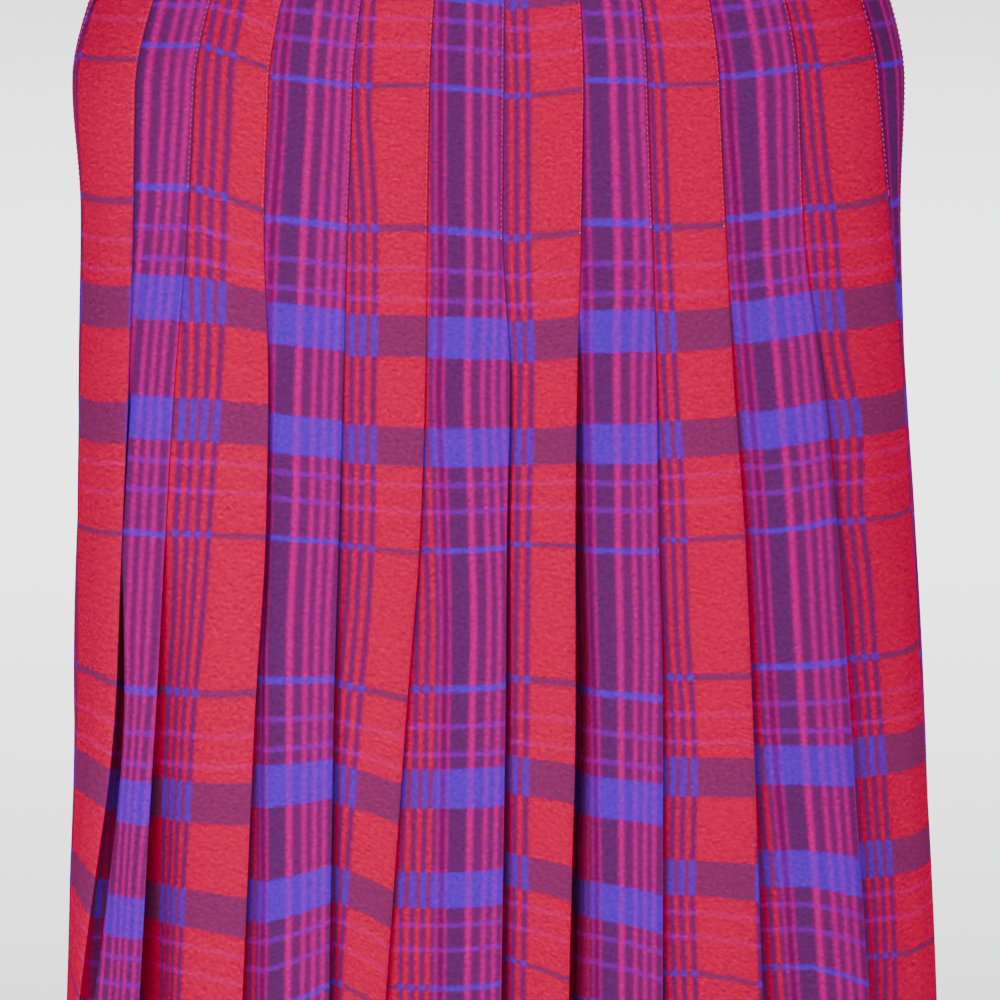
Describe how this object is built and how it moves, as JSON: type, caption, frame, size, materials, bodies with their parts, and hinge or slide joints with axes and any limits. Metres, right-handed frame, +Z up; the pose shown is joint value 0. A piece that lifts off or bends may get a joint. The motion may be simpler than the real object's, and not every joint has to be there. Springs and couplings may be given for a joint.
{
  "type": "pleated skirt",
  "caption": "Knee-length knife-pleated skirt in woven check cloth, filled out and hollow, held at a folded waistband with a buttoned side tab",
  "frame": {"origin": "the middle of the waist opening, level with the waistband's upper edge", "axes": "+Z up, the front faces -Y, +X to the right as the front is seen"},
  "size_m": [0.4607, 0.2185, 0.7],
  "materials": {
    "front_cloth": "matt woven wool check",
    "back_cloth": "matt woven wool check",
    "band_cloth": "matt woven wool check",
    "tab_cloth": "matt woven wool check",
    "button": "semi-matt moulded button"
  },
  "bodies": {
    "root": {"front_panel": "front_cloth", "back_panel": "back_cloth", "waistband": "band_cloth", "closing_tab": "tab_cloth", "tab_button": "button"}
  },
  "joints": []
}
